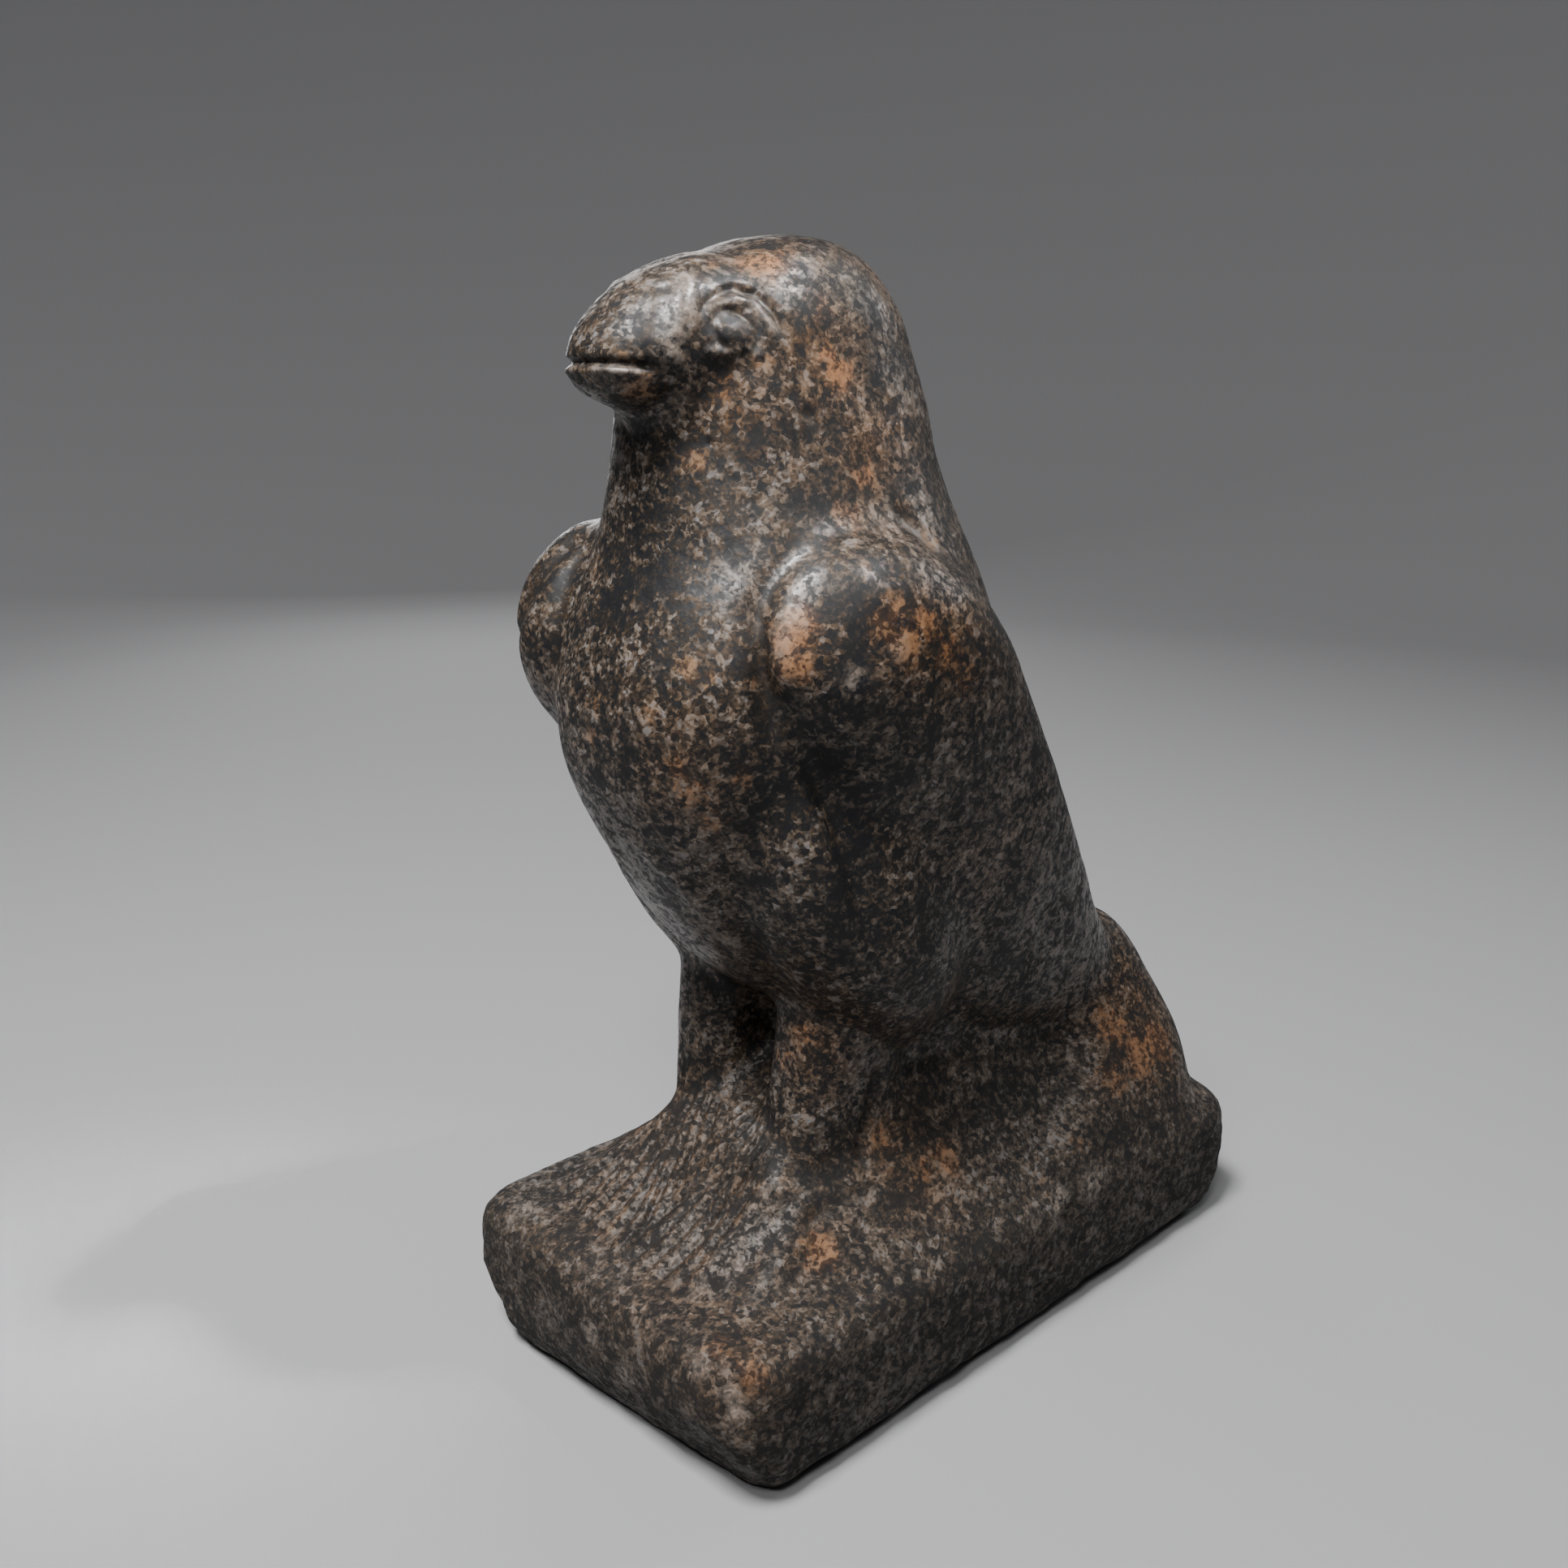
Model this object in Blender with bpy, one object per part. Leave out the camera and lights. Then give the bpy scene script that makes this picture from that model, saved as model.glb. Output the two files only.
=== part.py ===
"""Stone falcon of the god Horus, carved in one piece with the block it stands on.

Metres, +Z up. The bird faces -Y and its left side is +X. The origin is the middle of the block's underside.
"""

import math

import bmesh
import bpy
import numpy as np
from mathutils import Vector

# Block under the bird
BASE_LENGTH = 0.198
BASE_WIDTH = 0.108
BASE_HEIGHT = 0.037
BASE_CORNER_RADIUS = 0.012
BASE_TOP_ROUND = 0.008
BASE_FOOT_ROUND = 0.011
ROUND_SEGMENTS = 6
# The block is carved a little too tall below, and then sawn flat
SAWN_OFF = 0.001

# Breaks along the block's foot. Each has its place as a share of the half width and half length,
# the height up to which the stone is gone, and the way it faces.
BREAKS = (
    (0.94, -0.965, 0.016, (0.6, -0.6, -0.53)),
    (-0.94, -0.965, 0.018, (-0.6, -0.6, -0.53)),
    (0.94, 0.965, 0.013, (0.6, 0.6, -0.53)),
    (0.0, -1.0, 0.013, (0.1, -0.86, -0.5)),
)

# Bird, from the block's top to its crown
BIRD_HEIGHT = 0.232
BIRD_SET_BACK = 0.002

# The carver's grid: the bird is laid out in squares, up from the block and back and out from its middle
SQUARES_TALL = 23.2
SQUARE = BIRD_HEIGHT / SQUARES_TALL

# How the rough forms are melted into one skin
SKIN_CELL = 0.0021
SMOOTHING_PASSES = 7
SMOOTHING_STRENGTH = 0.5
SURFACE_TRIANGLES = 7800
RING_POINTS = 56
RINGS_PER_SQUARE = 3

# Trunk from the foot of the tail to the crown: level, front, back, half width, squareness
TRUNK = (
    (-1.0, -3.2, 8.9, 2.5, 3.2),
    (2.2, -3.2, 8.8, 2.5, 3.2),
    (3.7, -3.3, 8.2, 2.7, 3.0),
    (5.2, -4.0, 7.3, 3.0, 2.8),
    (6.4, -5.7, 6.4, 3.2, 2.5),
    (7.7, -6.9, 5.6, 3.4, 2.4),
    (9.2, -7.9, 4.7, 3.6, 2.4),
    (10.7, -8.7, 3.8, 3.8, 2.5),
    (12.2, -9.2, 2.8, 4.0, 2.5),
    (13.2, -9.25, 2.25, 4.1, 2.5),
    (14.4, -9.0, 1.65, 4.15, 2.4),
    (15.7, -8.5, 1.05, 4.05, 2.3),
    (16.7, -8.1, 0.6, 3.75, 2.2),
    (17.7, -8.0, 0.25, 3.3, 2.2),
    (18.5, -7.9, 0.0, 3.05, 2.2),
    (19.7, -7.75, -0.3, 2.75, 2.3),
    (20.7, -7.65, -0.7, 2.5, 2.4),
    (21.5, -7.3, -1.0, 2.35, 2.4),
    (22.2, -6.7, -1.5, 2.05, 2.3),
    (22.7, -6.0, -2.0, 1.75, 2.1),
    (23.05, -5.1, -2.7, 1.2, 2.0),
    (23.2, -4.0, -3.6, 0.3, 2.0),
)

# Folded wing from its tip to the shoulder: level, front, back, inner side, outer side, squareness
WING = (
    (1.6, 7.0, 8.6, 0.4, 2.7, 2.6),
    (3.2, 1.5, 8.1, 0.2, 3.1, 2.6),
    (4.7, -1.5, 6.8, 0.4, 3.45, 2.5),
    (6.2, -3.0, 5.5, 0.6, 3.8, 2.4),
    (7.7, -4.1, 4.4, 0.8, 4.2, 2.4),
    (9.2, -5.0, 3.35, 0.9, 4.5, 2.4),
    (10.7, -5.95, 2.35, 1.0, 4.75, 2.4),
    (12.0, -7.0, 1.45, 1.0, 4.95, 2.4),
    (13.2, -7.85, 0.6, 1.0, 5.15, 2.4),
    (14.4, -8.15, -0.25, 1.0, 5.25, 2.4),
    (15.6, -7.85, -1.3, 1.2, 5.1, 2.3),
    (16.4, -7.3, -2.2, 1.7, 4.7, 2.2),
    (17.0, -6.5, -3.2, 2.3, 4.1, 2.0),
)
# The bird is a little twisted: its right wing starts this much further forward and its left one further back
SHOULDER_TWIST = 0.65

# Leg, block to thigh: level, front, back, inner side, outer side, squareness
LEG = (
    (-0.5, -6.0, -1.9, 0.4, 3.2, 2.6),
    (1.5, -5.6, -2.0, 0.6, 2.85, 2.6),
    (3.5, -5.45, -1.9, 0.6, 2.9, 2.6),
    (5.0, -5.3, -1.7, 0.6, 3.05, 2.5),
    (6.5, -5.0, -1.5, 0.6, 3.1, 2.4),
    (8.0, -4.6, -1.5, 0.9, 2.9, 2.4),
)

# The stone slopes up from the block to the legs and to the tail: level, front, back, side, squareness.
# Front, back and side say how far the stone spreads: 0 hugs the bird, and 1 is the block's edge.
SLOPE_INSET = 0.0015
FOOT_OF_LEGS = (-3.4, 8.0, 2.6)
LEG_SLOPE = (
    (-0.6, 0.91, 0.9, 0.93, 3.4),
    (0.0, 0.85, 0.8, 0.87, 3.4),
    (0.35, 0.74, 0.64, 0.77, 3.2),
    (0.8, 0.61, 0.5, 0.63, 3.0),
    (1.5, 0.49, 0.35, 0.44, 3.0),
    (2.3, 0.39, 0.2, 0.24, 3.0),
    (2.9, 0.26, 0.12, 0.13, 2.8),
    (3.6, 0.08, 0.05, 0.04, 2.6),
    (4.2, 0.0, 0.0, 0.0, 2.4),
)
FOOT_OF_TAIL = (3.6, 7.6, 2.75)
TAIL_SLOPE = (
    (-0.6, 0.42, 1.02, 1.0, 3.8),
    (0.3, 0.33, 1.02, 0.92, 3.7),
    (0.9, 0.23, 1.01, 0.83, 3.5),
    (1.6, 0.13, 0.97, 0.69, 3.4),
    (2.4, 0.05, 0.87, 0.5, 3.2),
    (3.3, 0.0, 0.67, 0.3, 3.0),
    (4.4, 0.0, 0.36, 0.13, 3.0),
    (5.2, 0.0, 0.0, 0.0, 2.8),
)

# Beak from inside the head to its blunt tip: distance to the front, half width, bottom, top, squareness
BEAK = (
    (5.0, 1.7, 19.3, 22.6, 2.4),
    (6.2, 1.75, 19.3, 22.75, 2.5),
    (7.0, 1.7, 19.35, 22.55, 2.5),
    (7.8, 1.55, 19.5, 22.2, 2.5),
    (8.5, 1.3, 19.65, 21.7, 2.4),
    (9.0, 0.95, 19.85, 21.2, 2.2),
    (9.3, 0.4, 20.2, 20.7, 2.0),
)

# Thigh, a long egg of stone that swells out of the belly above each leg
THIGH_MIDDLE = (2.35, -3.9, 8.9)
THIGH_SIZE = (2.2, 2.6, 5.0)
THIGH_LEAN = math.radians(31)

# Eye, a ball in low relief on the side of the head
EYE_MIDDLE = (1.4, -6.75, 20.8)
EYE_SIZE = (0.65, 0.75, 0.62)

# Toes of one foot, low ridges that lie on the slope: turn outwards, start across the foot, length
TOES = ((math.radians(-6), 1.0, 3.7), (math.radians(5), 1.8, 3.9), (math.radians(16), 2.55, 3.6))
TOE_START = -5.2
TOE_WIDTH = 0.48
TOE_HEIGHT = 0.42
TOE_SINK = 0.1

# Facets round and along a ball, before the surface is melted together
BALL_FACETS = (32, 24)

DARK_GRANITE = (0.16, 0.14, 0.13, 1.0)
GRANITE_ROUGHNESS = 0.42


def clear_scene():
    for thing in list(bpy.data.objects):
        bpy.data.objects.remove(thing, do_unlink=True)


def granite():
    material = bpy.data.materials.new("dark granite")
    material.use_nodes = True
    surface = material.node_tree.nodes["Principled BSDF"]
    surface.inputs["Base Color"].default_value = DARK_GRANITE
    surface.inputs["Roughness"].default_value = GRANITE_ROUGHNESS
    surface.inputs["Metallic"].default_value = 0.0
    return material


def smooth_rows(stations, step):
    """Rows between the stations on a smooth curve that never overshoots them, about one step apart."""
    table = np.array(stations, dtype=float)
    along = table[:, 0]
    spans = np.diff(along)
    slopes = np.diff(table, axis=0) / spans[:, None]
    tangents = np.zeros_like(table)
    tangents[0], tangents[-1] = slopes[0], slopes[-1]
    before, after = slopes[:-1], slopes[1:]
    same_way = before * after > 0
    total = np.where(same_way, before + after, 1.0)
    tangents[1:-1] = np.where(same_way, 2 * before * after / total, 0.0)
    rows = []
    for i, span in enumerate(spans):
        pieces = max(1, round(span / step))
        for k in range(pieces):
            t = k / pieces
            rows.append(
                (2 * t**3 - 3 * t**2 + 1) * table[i]
                + (t**3 - 2 * t**2 + t) * span * tangents[i]
                + (3 * t**2 - 2 * t**3) * table[i + 1]
                + (t**3 - t**2) * span * tangents[i + 1]
            )
    rows.append(table[-1])
    return rows


def rounded(cosine, squareness):
    return math.copysign(abs(cosine) ** (2 / squareness), cosine)


def level_ring(left, right, front, back, level, squareness):
    """A level oval ring, square-shouldered by its squareness, in squares of the grid."""
    points = []
    for k in range(RING_POINTS):
        turn = 2 * math.pi * k / RING_POINTS
        across = rounded(math.cos(turn), squareness)
        along = rounded(math.sin(turn), squareness)
        x = (left + right) / 2 + (right - left) / 2 * across
        y = (front + back) / 2 + (back - front) / 2 * along
        points.append(on_grid(x, y, level))
    return points


def on_grid(x, y, level):
    return Vector((x * SQUARE, y * SQUARE + BIRD_SET_BACK, BASE_HEIGHT + level * SQUARE))


def loft(form, rings):
    """Skin a closed tube through rings of points by extruding a circle from ring to ring."""
    circle = bmesh.ops.create_circle(form, segments=len(rings[0]), cap_ends=True)["verts"]
    cap = circle[0].link_faces[0]
    edges = list(cap.edges)
    corners = list(cap.verts)
    for vert, point in zip(corners, rings[0]):
        vert.co = point
    for ring in rings[1:]:
        made = bmesh.ops.extrude_edge_only(form, edges=edges)["geom"]
        new = {v for v in made if isinstance(v, bmesh.types.BMVert)}
        edges = [e for e in made if isinstance(e, bmesh.types.BMEdge) and set(e.verts) <= new]
        following = []
        for vert, point in zip(corners, ring):
            upper = next(e.other_vert(vert) for e in vert.link_edges if e.other_vert(vert) in new)
            upper.co = point
            following.append(upper)
        corners = following
    bmesh.ops.contextual_create(form, geom=edges)


def trunk(form):
    rings = []
    for level, front, back, half, square in smooth_rows(TRUNK, 1 / RINGS_PER_SQUARE):
        rings.append(level_ring(-half, half, front, back, level, square))
    loft(form, rings)


def slope_rows(foot, stations):
    """Rows of a slope, as level, front, back, half width and squareness in squares of the grid."""
    edges = (
        (SLOPE_INSET - BASE_LENGTH / 2 - BIRD_SET_BACK) / SQUARE,
        (BASE_LENGTH / 2 - BIRD_SET_BACK - SLOPE_INSET) / SQUARE,
        (BASE_WIDTH / 2 - SLOPE_INSET) / SQUARE,
    )
    rows = []
    for level, *spreads, square in smooth_rows(stations, 1 / (2 * RINGS_PER_SQUARE)):
        reach = [near + spread * (edge - near) for near, edge, spread in zip(foot, edges, spreads)]
        rows.append((level, *reach, square))
    return rows


def slope_of_stone(form, foot, stations):
    rings = []
    for level, front, back, half, square in slope_rows(foot, stations):
        rings.append(level_ring(-half, half, front, back, level, square))
    loft(form, rings)


def level_on_slope(x, y):
    """Height of the slope to the legs at a place on the grid, which is the highest ring around that place."""
    found = 0.0
    for level, front, back, half, square in slope_rows(FOOT_OF_LEGS, LEG_SLOPE):
        across = abs(x / half)
        along = abs((y - (front + back) / 2) / ((back - front) / 2))
        if across**square + along**square < 1:
            found = max(found, level)
    return found


def side_form(form, stations, side, set_back=0.0):
    rings = []
    for level, front, back, inner, outer, square in smooth_rows(stations, 1 / RINGS_PER_SQUARE):
        left, right = sorted((side * inner, side * outer))
        rings.append(level_ring(left, right, front + set_back, back, level, square))
    loft(form, rings)


def beak(form):
    rings = []
    for reach, half, bottom, top, square in smooth_rows(BEAK, 1 / (2 * RINGS_PER_SQUARE)):
        ring = []
        for k in range(RING_POINTS):
            turn = 2 * math.pi * k / RING_POINTS
            x = half * rounded(math.cos(turn), square)
            level = (bottom + top) / 2 + (top - bottom) / 2 * rounded(math.sin(turn), square)
            ring.append(on_grid(x, -reach, level))
        rings.append(ring)
    loft(form, rings)


def ball(form):
    around, along = BALL_FACETS
    return bmesh.ops.create_uvsphere(form, u_segments=around, v_segments=along, radius=1.0)["verts"]


def thigh(form, side):
    middle_x, middle_y, middle_level = THIGH_MIDDLE
    for vert in ball(form):
        x, y, level = (value * size for value, size in zip(vert.co, THIGH_SIZE))
        leaned_y = y * math.cos(THIGH_LEAN) - level * math.sin(THIGH_LEAN)
        leaned_level = y * math.sin(THIGH_LEAN) + level * math.cos(THIGH_LEAN)
        vert.co = on_grid(side * (middle_x + x), middle_y + leaned_y, middle_level + leaned_level)


def eye(form, side):
    for vert in ball(form):
        x, y, level = (middle + value * size for middle, value, size in zip(EYE_MIDDLE, vert.co, EYE_SIZE))
        vert.co = on_grid(side * x, y, level)


def toe(form, side, turn, start, length):
    """A low ridge that runs down the slope from the leg towards the front of the block."""
    for vert in ball(form):
        share = (1 - vert.co.y) / 2
        forward = TOE_START - share * length * math.cos(turn)
        middle = start + share * length * math.sin(turn)
        level = level_on_slope(middle, forward) - TOE_SINK
        vert.co = on_grid(side * (middle + vert.co.x * TOE_WIDTH), forward, level + vert.co.z * TOE_HEIGHT)


def block(form):
    """The block under the feet, its corners, top edge and foot rounded by wear."""
    verts = bmesh.ops.create_cube(form, size=1.0)["verts"]
    for vert in verts:
        level = BASE_HEIGHT if vert.co.z > 0 else -SAWN_OFF
        vert.co = Vector((vert.co.x * BASE_WIDTH, vert.co.y * BASE_LENGTH, level))
    edges = list({e for v in verts for e in v.link_edges})
    round_edges(form, [e for e in edges if e.verts[0].co.z != e.verts[1].co.z], BASE_CORNER_RADIUS)
    round_edges(form, rim_at(form, BASE_HEIGHT), BASE_TOP_ROUND)
    round_edges(form, rim_at(form, -SAWN_OFF), BASE_FOOT_ROUND)
    for across, along, height, facing in BREAKS:
        break_off(form, (across * BASE_WIDTH / 2, along * BASE_LENGTH / 2, height), facing)


def break_off(form, place, facing):
    everything = list(form.verts) + list(form.edges) + list(form.faces)
    bmesh.ops.bisect_plane(
        form, geom=everything, dist=SAWN_OFF / 1000, plane_co=place, plane_no=facing, clear_outer=True
    )
    bmesh.ops.holes_fill(form, edges=[e for e in form.edges if e.is_boundary])


def rim_at(form, level):
    return [e for e in form.edges if all(abs(v.co.z - level) < SQUARE / 100 for v in e.verts)]


def round_edges(form, edges, radius):
    bmesh.ops.bevel(
        form, geom=edges, offset=radius, segments=ROUND_SEGMENTS, profile=0.5, affect="EDGES", material=-1
    )


def falcon_forms():
    """Every form of the carving, still overlapping, as one mesh."""
    form = bmesh.new()
    block(form)
    trunk(form)
    slope_of_stone(form, FOOT_OF_LEGS, LEG_SLOPE)
    slope_of_stone(form, FOOT_OF_TAIL, TAIL_SLOPE)
    beak(form)
    for side in (-1, 1):
        side_form(form, WING, side, side * SHOULDER_TWIST)
        side_form(form, LEG, side)
        thigh(form, side)
        eye(form, side)
        for turn, start, length in TOES:
            toe(form, side, turn, start, length)
    bmesh.ops.recalc_face_normals(form, faces=form.faces)
    mesh = bpy.data.meshes.new("falcon forms")
    form.to_mesh(mesh)
    form.free()
    return mesh


def add_object(name, mesh):
    thing = bpy.data.objects.new(name, mesh)
    bpy.context.scene.collection.objects.link(thing)
    return thing


def worked_surface(mesh):
    """Melt the forms into one skin and rub it smooth, as the carver does."""
    rough = add_object("falcon rough", mesh)
    skin = rough.modifiers.new("one skin", "REMESH")
    skin.mode = "VOXEL"
    skin.voxel_size = SKIN_CELL
    rub = rough.modifiers.new("rubbed smooth", "SMOOTH")
    rub.factor = SMOOTHING_STRENGTH
    rub.iterations = SMOOTHING_PASSES
    triangles = rough.modifiers.new("triangles", "TRIANGULATE")
    triangles.quad_method = "BEAUTY"
    fine = evaluated(rough)
    light = rough.modifiers.new("fewer triangles", "DECIMATE")
    light.ratio = SURFACE_TRIANGLES / len(fine.polygons)
    result = evaluated(rough)
    bpy.data.objects.remove(rough, do_unlink=True)
    return result


def evaluated(thing):
    depsgraph = bpy.context.evaluated_depsgraph_get()
    return bpy.data.meshes.new_from_object(thing.evaluated_get(depsgraph))


def flat_underside(mesh):
    """Saw the underside flat, at the height on which it stands."""
    form = bmesh.new()
    form.from_mesh(mesh)
    everything = list(form.verts) + list(form.edges) + list(form.faces)
    bmesh.ops.bisect_plane(form, geom=everything, dist=SAWN_OFF / 1000, plane_no=(0, 0, -1), clear_outer=True)
    bmesh.ops.holes_fill(form, edges=[e for e in form.edges if e.is_boundary])
    bmesh.ops.triangulate(form, faces=[f for f in form.faces if len(f.verts) > 3])
    form.to_mesh(mesh)
    form.free()


def falcon():
    mesh = worked_surface(falcon_forms())
    flat_underside(mesh)
    mesh.materials.clear()
    mesh.materials.append(granite())
    mesh.shade_smooth()
    mesh.name = "falcon_statue"
    return add_object("falcon_statue", mesh)


clear_scene()
falcon()
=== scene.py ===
# %% [markdown]
# # A stone falcon, carved and polished
#
# The statue is one piece of dark granite: a falcon on an oblong block, with stone left standing between the
# legs and behind them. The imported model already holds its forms. This lesson takes a finer skin over those
# forms, carves the face, wings and toes into it, wears the block, and makes the granite from nodes.

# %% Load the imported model
import math

import bmesh
import bpy
import numpy as np
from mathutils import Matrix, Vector, noise
from mathutils.bvhtree import BVHTree


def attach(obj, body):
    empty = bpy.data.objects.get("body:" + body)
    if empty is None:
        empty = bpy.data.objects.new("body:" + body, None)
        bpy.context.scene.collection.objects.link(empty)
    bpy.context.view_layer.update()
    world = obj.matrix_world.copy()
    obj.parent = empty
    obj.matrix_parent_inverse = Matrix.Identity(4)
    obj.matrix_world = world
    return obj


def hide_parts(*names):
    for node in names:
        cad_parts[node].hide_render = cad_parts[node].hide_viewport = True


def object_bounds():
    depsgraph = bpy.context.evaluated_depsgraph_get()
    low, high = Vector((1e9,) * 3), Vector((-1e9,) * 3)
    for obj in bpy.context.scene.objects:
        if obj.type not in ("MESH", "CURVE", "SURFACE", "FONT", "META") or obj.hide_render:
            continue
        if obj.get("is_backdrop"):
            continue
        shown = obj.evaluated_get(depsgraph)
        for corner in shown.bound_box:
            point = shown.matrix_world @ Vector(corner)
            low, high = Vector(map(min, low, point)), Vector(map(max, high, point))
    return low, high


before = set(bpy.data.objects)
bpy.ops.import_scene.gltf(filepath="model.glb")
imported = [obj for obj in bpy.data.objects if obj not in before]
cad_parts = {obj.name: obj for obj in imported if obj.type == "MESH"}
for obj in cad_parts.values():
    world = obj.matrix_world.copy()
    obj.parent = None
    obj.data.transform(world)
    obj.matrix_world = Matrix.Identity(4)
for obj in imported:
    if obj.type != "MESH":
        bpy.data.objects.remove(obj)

cad_low, cad_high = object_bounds()
MM = 0.001
print("statue, mm:", [round((high - low) / MM, 1) for low, high in zip(cad_low, cad_high)])

# %% [markdown]
# ## The camera
#
# The camera stands in front of the bird, to its left, a little below its crown and tipped down. It comes
# first, because the carving is placed by where a line is seen in the photograph: a ray from the camera
# through that pixel meets the stone where the line belongs. A ruler would do too, but the eye finds a
# brow or a mouth in a picture more surely than in a list of measurements.

# %% Set up the camera
PHOTO_SIDE = 1932
CAMERA_PLACE = Vector((0.248, -0.266, 0.2404))
CAMERA_TURN = (math.radians(74.2), 0.0, math.radians(47.07))
LENS_MM = 33.54
SENSOR_MM = 36.0


def make_camera():
    data = bpy.data.cameras.new("camera")
    data.lens = LENS_MM
    data.sensor_width = SENSOR_MM
    data.clip_start = 0.01
    data.clip_end = 20.0
    camera = bpy.data.objects.new("camera", data)
    camera.location = CAMERA_PLACE
    camera.rotation_euler = CAMERA_TURN
    bpy.context.scene.collection.objects.link(camera)
    bpy.context.scene.camera = camera
    return camera


camera = make_camera()
bpy.context.view_layer.update()
look = camera.matrix_world.to_3x3()


def sight_line(x, y):
    """Direction from the camera through a pixel of the photograph."""
    across = (x / PHOTO_SIDE - 0.5) * SENSOR_MM
    up = (0.5 - y / PHOTO_SIDE) * SENSOR_MM
    return (look @ Vector((across, up, -LENS_MM))).normalized()


print("camera looks along", [round(c, 3) for c in sight_line(PHOTO_SIDE / 2, PHOTO_SIDE / 2)])

# %% [markdown]
# ## A finer skin
#
# The model's triangles are a few millimetres wide, too coarse for an eyelid. A voxel remesh lays an even
# net of small squares over the same forms, and a few rounds of smoothing take away its steps, as grinding
# takes away the marks of the point. The head and the toes get a net twice as fine, and the eyes and the
# mouth one four times as fine. A net that fine all over would be far heavier and show nothing more.

# %% Take the skin
SKIN_CELL = 1.65 * MM
SKIN_ROUNDS = 4
SKIN_RUB = 0.5
WELD = 0.01 * MM
HEAD_FLOOR = 0.222
BLOCK_TOP = 0.037
TOES_FRONT = -0.088
TOES_BACK = -0.052
TOES_TOP = 0.072
EYE_PLACE = Vector((0.017, -0.062, 0.246))
EYE_REACH = 0.0125
MOUTH_BACK = -0.074
MOUTH_HEIGHT = 0.241
MOUTH_BAND = 0.004


def evaluated_mesh(thing):
    depsgraph = bpy.context.evaluated_depsgraph_get()
    return bpy.data.meshes.new_from_object(thing.evaluated_get(depsgraph))


def take_skin(node):
    form = bmesh.new()
    form.from_mesh(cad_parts[node].data)
    bmesh.ops.remove_doubles(form, verts=form.verts, dist=WELD)
    mesh = bpy.data.meshes.new(node + " copy")
    form.to_mesh(mesh)
    form.free()
    rough = bpy.data.objects.new(node + " copy", mesh)
    bpy.context.scene.collection.objects.link(rough)
    net = rough.modifiers.new("even net", "REMESH")
    net.mode = "VOXEL"
    net.voxel_size = SKIN_CELL
    net.use_smooth_shade = True
    rub = rough.modifiers.new("ridge_highlight", "SMOOTH")
    rub.factor = SKIN_RUB
    rub.iterations = SKIN_ROUNDS
    skin = evaluated_mesh(rough)
    bpy.data.objects.remove(rough, do_unlink=True)
    return skin


def fine_place(point):
    """Places with fine carving: the head, and the toes."""
    toes = TOES_FRONT < point.y < TOES_BACK and point.z < TOES_TOP and point.z > BLOCK_TOP - MM
    return point.z > HEAD_FLOOR or toes


def finest_place(point):
    """Places with the thinnest lines: round the eyes, and along the mouth."""
    eye = (Vector((abs(point.x), point.y, point.z)) - EYE_PLACE).length < EYE_REACH
    return eye or (point.y < MOUTH_BACK and abs(point.z - MOUTH_HEIGHT) < MOUTH_BAND)


skin = take_skin("falcon_statue")
stone = bmesh.new()
stone.from_mesh(skin)
for wanted in (fine_place, finest_place):
    fine_edges = [e for e in stone.edges if all(wanted(v.co) for v in e.verts)]
    bmesh.ops.subdivide_edges(stone, edges=fine_edges, cuts=1, use_grid_fill=True, smooth=0.0)
bmesh.ops.triangulate(stone, faces=stone.faces, quad_method="BEAUTY", ngon_method="BEAUTY")
stone.verts.ensure_lookup_table()
print("skin:", len(stone.verts), "points,", len(stone.faces), "triangles")

# %% [markdown]
# ## How a line is carved
#
# Every groove and ridge is the same small job. The line is named by its pixels, each pixel becomes a place
# on the stone, and each point of the skin near the line moves along its own normal, by an amount that
# fades with its distance. The falcon is alike on both sides, so a line can be carved on the far side too.
# A Boolean cut would leave sharp walls, and these lines have been softened by polishing. Narrow grooves are
# remembered for the painted shade laid in them, and narrow ridges for the painted highlight laid along them.
# A second tool sinks the stone behind a line, where one form stands over the next.

# %% Tools for carving
points = np.array([v.co for v in stone.verts])
surface = BVHTree.FromBMesh(stone)
SIGHT_START = 0.25
SIGHT_END = 0.55
SIGHT_STEP = 2 * MM


def on_stone(x, y):
    """The place on the stone seen at a pixel of the photograph, or the nearest one if it just misses."""
    ray = sight_line(x, y)
    hit = surface.ray_cast(CAMERA_PLACE, ray)[0]
    if hit is not None:
        return hit
    reaches = np.arange(SIGHT_START, SIGHT_END, SIGHT_STEP)
    tries = [surface.find_nearest(CAMERA_PLACE + ray * reach) for reach in reaches]
    return min(tries, key=lambda found: found[3])[0]


def across_the_bird(place):
    """The same place on the bird's other side."""
    return surface.find_nearest(Vector((-place.x, place.y, place.z)))[0]


def both_sides(places):
    return (places, [across_the_bird(p) for p in places])


def distance_to_line(places):
    """For every point of the skin: how far it is from the line, how far along the line it lies, 0 to 1, and
    how far behind the line it lies on the surface, below 0 in front of it."""
    line = np.array(places)
    runs = np.linalg.norm(np.diff(line, axis=0), axis=1)
    start = np.concatenate(([0.0], np.cumsum(runs)))
    nearest = np.full(len(points), np.inf)
    share = np.zeros(len(points))
    behind = np.zeros(len(points))
    for i, run in enumerate(runs):
        step = line[i + 1] - line[i]
        along = np.clip((points - line[i]) @ step / run**2, 0, 1)
        offset = points - (line[i] + along[:, None] * step)
        gap = np.linalg.norm(offset, axis=1)
        rearward = np.cross(step, np.array(surface.find_nearest(Vector(line[i] + step / 2))[1]))
        rearward *= math.copysign(1.0, rearward[1])
        closer = gap < nearest
        nearest[closer] = gap[closer]
        share[closer] = (start[i] + along[closer] * run) / start[-1]
        behind[closer] = np.copysign(gap, offset @ rearward)[closer]
    return nearest, share, behind


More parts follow.
